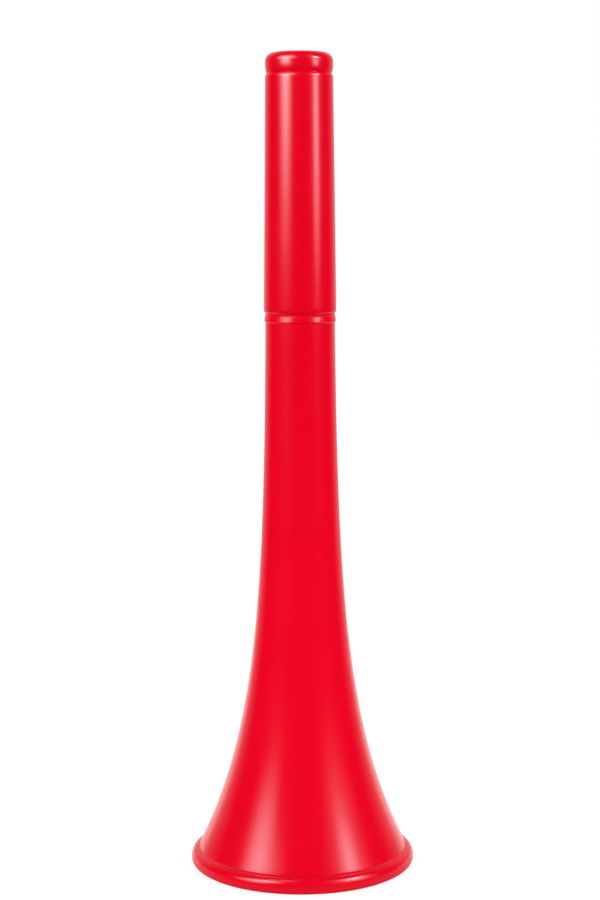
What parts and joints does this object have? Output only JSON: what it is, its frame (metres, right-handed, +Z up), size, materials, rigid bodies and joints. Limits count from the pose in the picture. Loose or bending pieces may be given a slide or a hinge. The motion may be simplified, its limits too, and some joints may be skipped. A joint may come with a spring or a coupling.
{
  "type": "collapsible horn",
  "caption": "Collapsible lip-blown horn: a flared bell, a tapered grip sleeve and a cup mouthpiece that pull out on an inner slide tube.",
  "frame": {"origin": "on the horn's axis, at the floor that the lip of the bell stands on", "axes": "+Z up the horn's axis from the bell to the mouthpiece, the direction that the horn pulls out in; +X and +Y are free, because every piece is turned about Z"},
  "size_m": [0.102, 0.102, 0.3672],
  "materials": {
    "bell_plastic": "gloss moulded red",
    "tube_plastic": "gloss moulded red",
    "sleeve_plastic": "gloss moulded red",
    "mouthpiece_plastic": "gloss moulded red"
  },
  "bodies": {
    "horn_bell": {"bell": "bell_plastic"},
    "pull_out": {"slide_tube": "tube_plastic", "sleeve": "sleeve_plastic", "mouthpiece": "mouthpiece_plastic"}
  },
  "joints": [
    {"name": "telescope_slide", "type": "slide", "parent": "horn_bell", "child": "pull_out", "axis": [0, 0, 1], "range_m": [0, 0.2915]}
  ]
}
